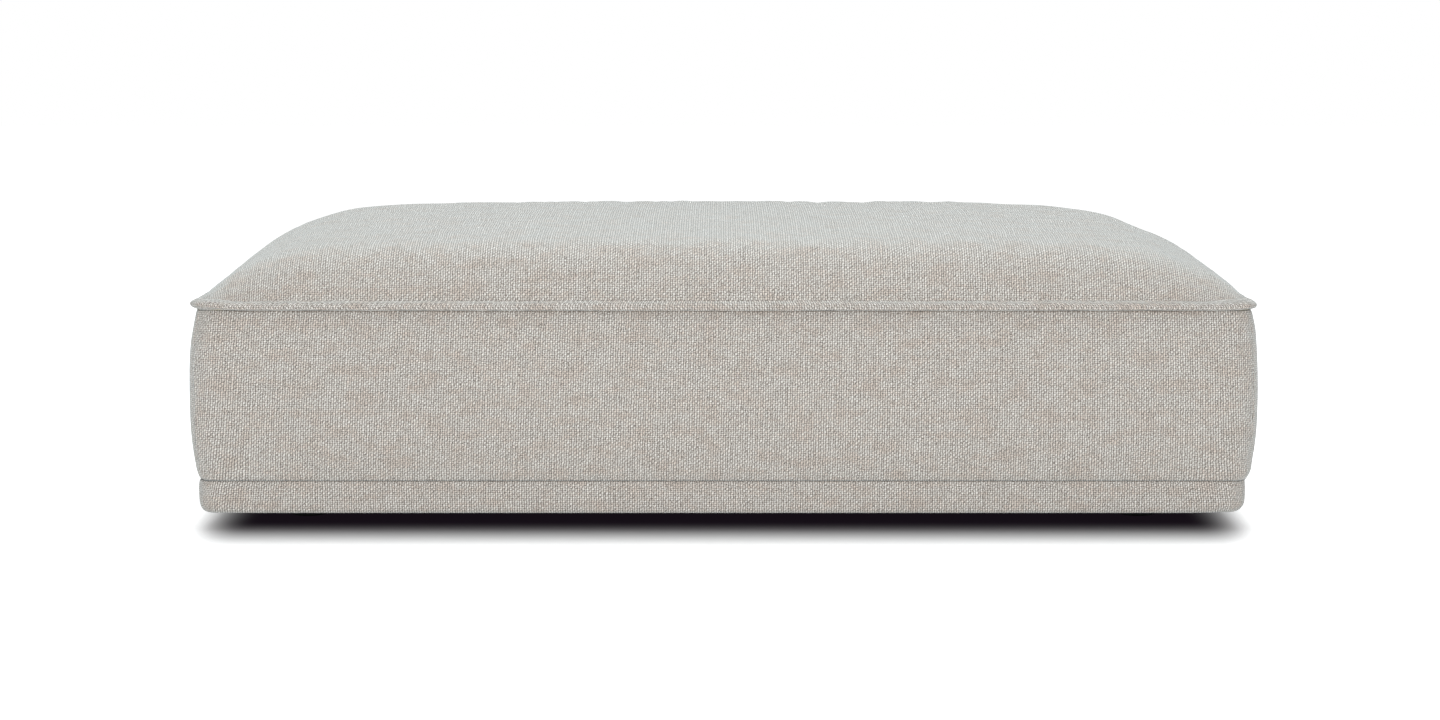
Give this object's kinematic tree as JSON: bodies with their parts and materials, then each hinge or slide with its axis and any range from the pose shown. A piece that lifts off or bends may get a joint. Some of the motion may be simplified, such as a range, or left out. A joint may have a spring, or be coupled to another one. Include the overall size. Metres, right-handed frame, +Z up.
{
  "type": "upholstered footstool",
  "caption": "Long rectangular footstool covered in coarse woven fabric, with a crowned sprung seat, a lipped top seam, gently bulging sides, a low band and low recessed feet.",
  "frame": {"origin": "on the floor, under the middle of the footstool", "axes": "+X along the length, +Y towards the back, +Z up"},
  "size_m": [1.355, 0.725, 0.38],
  "materials": {
    "cover_fabric": "matte",
    "dust_cloth": "matte",
    "fibre_fill": "matte",
    "foam": "matte",
    "felt": "matte",
    "pine": "matte",
    "hardboard": "matte",
    "spring_steel": "satin",
    "zinc_steel": "satin",
    "black_plastic": "matte"
  },
  "bodies": {
    "root": {"cover_top": "cover_fabric", "front_boxing": "cover_fabric", "rear_boxing": "cover_fabric", "left_boxing": "cover_fabric", "right_boxing": "cover_fabric", "front_band": "cover_fabric", "rear_band": "cover_fabric", "left_band": "cover_fabric", "right_band": "cover_fabric", "dust_cover": "dust_cloth", "crown_pad": "fibre_fill", "foam_core": "foam", "spring_felt": "felt", "front_pad": "foam", "rear_pad": "foam", "left_pad": "foam", "right_pad": "foam", "front_board": "hardboard", "rear_board": "hardboard", "left_board": "hardboard", "right_board": "hardboard", "front_bottom_rail": "pine", "rear_bottom_rail": "pine", "left_bottom_rail": "pine", "right_bottom_rail": "pine", "front_spring_rail": "pine", "rear_spring_rail": "pine", "left_top_rail": "pine", "right_top_rail": "pine", "front_left_post": "pine", "front_right_post": "pine", "rear_left_post": "pine", "rear_right_post": "pine", "front_middle_post": "pine", "rear_middle_post": "pine", "centre_stretcher": "pine", "corner_blocks": "pine", "zigzag_spring_1": "spring_steel", "zigzag_spring_2": "spring_steel", "zigzag_spring_3": "spring_steel", "zigzag_spring_4": "spring_steel", "zigzag_spring_5": "spring_steel", "zigzag_spring_6": "spring_steel", "zigzag_spring_7": "spring_steel", "zigzag_spring_8": "spring_steel", "zigzag_spring_9": "spring_steel", "spring_clips": "zinc_steel", "clip_nails": "zinc_steel", "spring_tie_wires": "spring_steel", "front_left_foot": "black_plastic", "front_right_foot": "black_plastic", "rear_left_foot": "black_plastic", "rear_right_foot": "black_plastic", "foot_screws": "zinc_steel", "frame_screws": "zinc_steel"}
  },
  "joints": []
}
